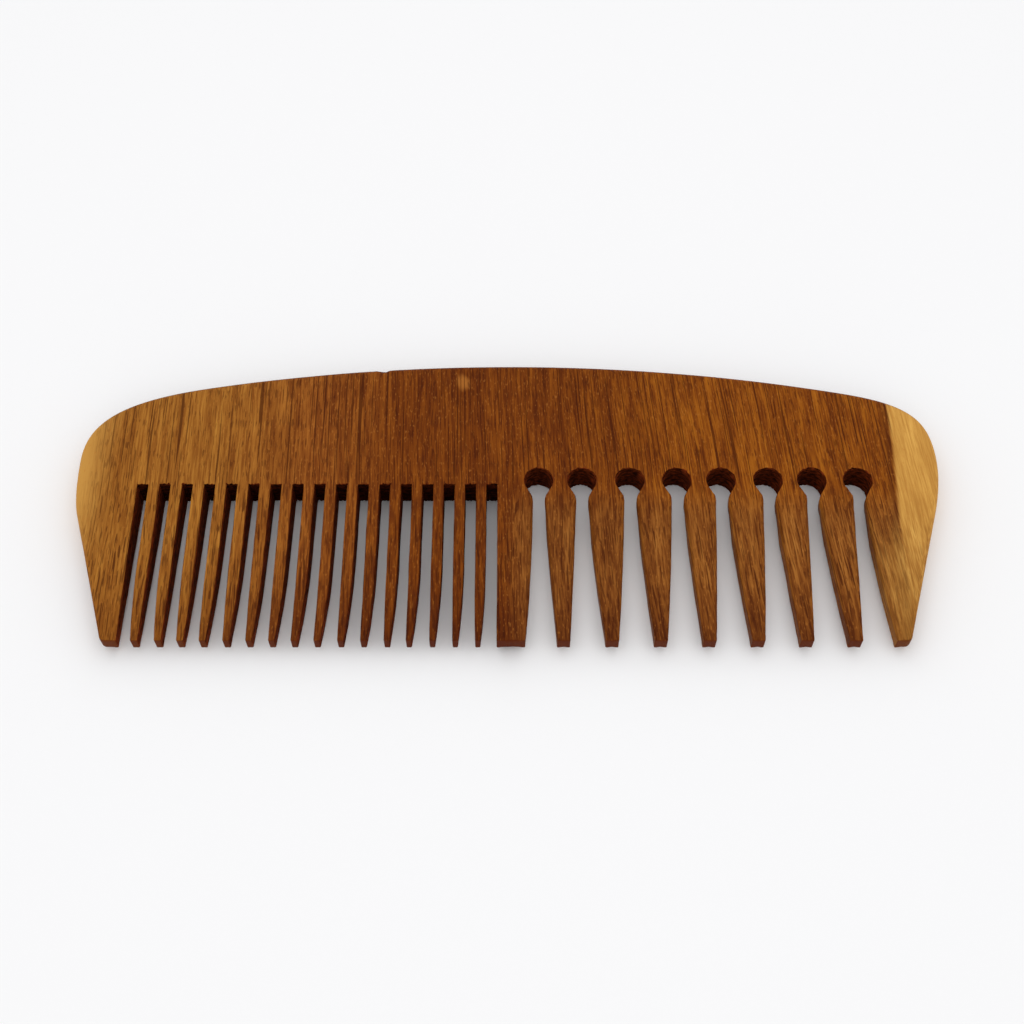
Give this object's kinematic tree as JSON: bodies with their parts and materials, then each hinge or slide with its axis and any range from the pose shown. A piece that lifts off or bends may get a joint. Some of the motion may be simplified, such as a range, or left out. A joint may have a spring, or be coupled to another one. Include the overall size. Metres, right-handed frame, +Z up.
{
  "type": "wide tooth comb",
  "caption": "Flat hand-sawn wooden dressing comb with an arched spine, fine teeth on one half and wide teeth with round drilled roots on the other",
  "frame": {"origin": "centre of the bounding box at its lowest face: the underside the comb lies on, midway along its length and midway between crown and tooth tips", "axes": "+X runs along the comb from the fine teeth to the wide teeth, +Y from the tooth tips to the crown of the spine, +Z up through the board"},
  "size_m": [0.18, 0.0665, 0.0067],
  "materials": {
    "wood": "open-grained hardwood, sanded and oiled to a low sheen"
  },
  "bodies": {
    "root": {"spine": "wood", "left_end_tooth": "wood", "fine_tooth_01": "wood", "fine_tooth_02": "wood", "fine_tooth_03": "wood", "fine_tooth_04": "wood", "fine_tooth_05": "wood", "fine_tooth_06": "wood", "fine_tooth_07": "wood", "fine_tooth_08": "wood", "fine_tooth_09": "wood", "fine_tooth_10": "wood", "fine_tooth_11": "wood", "fine_tooth_12": "wood", "fine_tooth_13": "wood", "fine_tooth_14": "wood", "fine_tooth_15": "wood", "fine_tooth_16": "wood", "centre_tooth": "wood", "wide_tooth_01": "wood", "wide_tooth_02": "wood", "wide_tooth_03": "wood", "wide_tooth_04": "wood", "wide_tooth_05": "wood", "wide_tooth_06": "wood", "wide_tooth_07": "wood", "right_end_tooth": "wood"}
  },
  "joints": []
}
